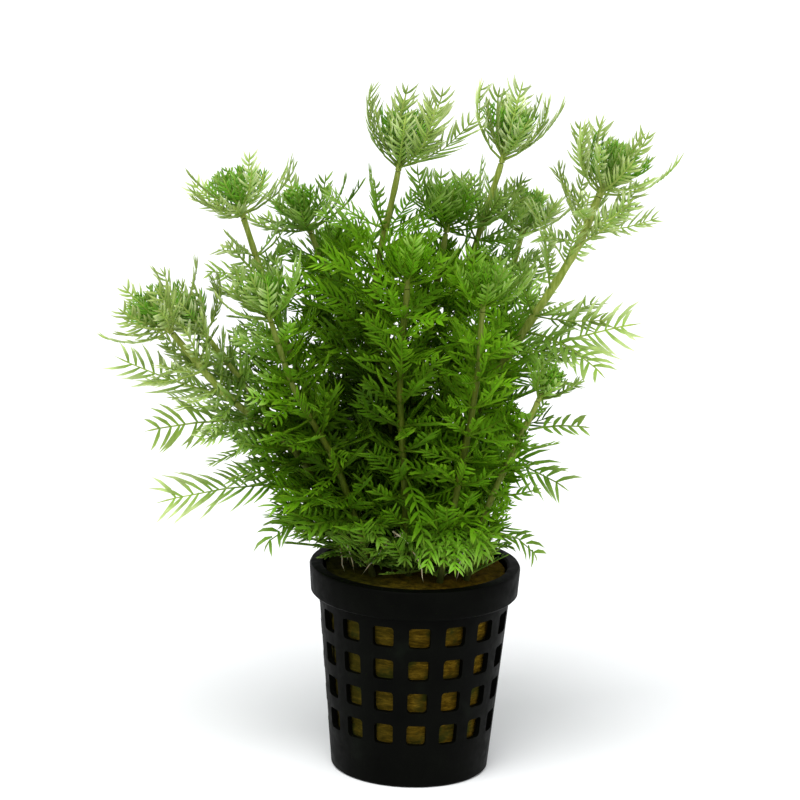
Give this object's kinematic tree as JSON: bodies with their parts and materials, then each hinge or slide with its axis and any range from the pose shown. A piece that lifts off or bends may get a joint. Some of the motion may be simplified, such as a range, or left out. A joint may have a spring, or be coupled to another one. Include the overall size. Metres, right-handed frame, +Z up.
{
  "type": "american featherfoil in a net pot",
  "caption": "A clump of feathery-leaved aquatic stems with bushy green crowns, growing out of ochre mineral wool in a round black net pot that stands on a flat base.",
  "frame": {"origin": "on the pot's axis, in the plane that the pot stands on", "axes": "+Z up along the pot's axis and the stems, -Y to the front that the picture shows, +X to the picture's right"},
  "size_m": [0.1387, 0.0814, 0.172],
  "materials": {
    "black_plastic": "satin",
    "ochre_wool": "matte",
    "stem_green": "satin",
    "crown_green": "satin",
    "leaf_green": "satin"
  },
  "bodies": {
    "root": {"net_pot": "black_plastic", "rockwool_plug": "ochre_wool", "stem_01": "stem_green", "stem_02": "stem_green", "stem_03": "stem_green", "stem_04": "stem_green", "stem_05": "stem_green", "stem_06": "stem_green", "stem_07": "stem_green", "stem_08": "stem_green", "stem_09": "stem_green", "stem_10": "stem_green", "stem_11": "stem_green", "stem_12": "stem_green", "stem_13": "stem_green", "stem_14": "stem_green", "crown_01": "crown_green", "crown_02": "crown_green", "crown_03": "crown_green", "crown_04": "crown_green", "crown_05": "crown_green", "crown_06": "crown_green", "crown_07": "crown_green", "crown_08": "crown_green", "crown_09": "crown_green", "crown_10": "crown_green", "crown_11": "crown_green", "crown_12": "crown_green", "crown_13": "crown_green", "crown_14": "crown_green", "leaf_01": "leaf_green", "leaf_02": "leaf_green", "leaf_03": "leaf_green", "leaf_04": "leaf_green", "leaf_05": "leaf_green", "leaf_06": "leaf_green", "leaf_07": "leaf_green", "leaf_08": "leaf_green", "leaf_09": "leaf_green", "leaf_10": "leaf_green", "leaf_11": "leaf_green", "leaf_12": "leaf_green", "leaf_13": "leaf_green", "leaf_14": "leaf_green", "leaf_15": "leaf_green"}
  },
  "joints": []
}
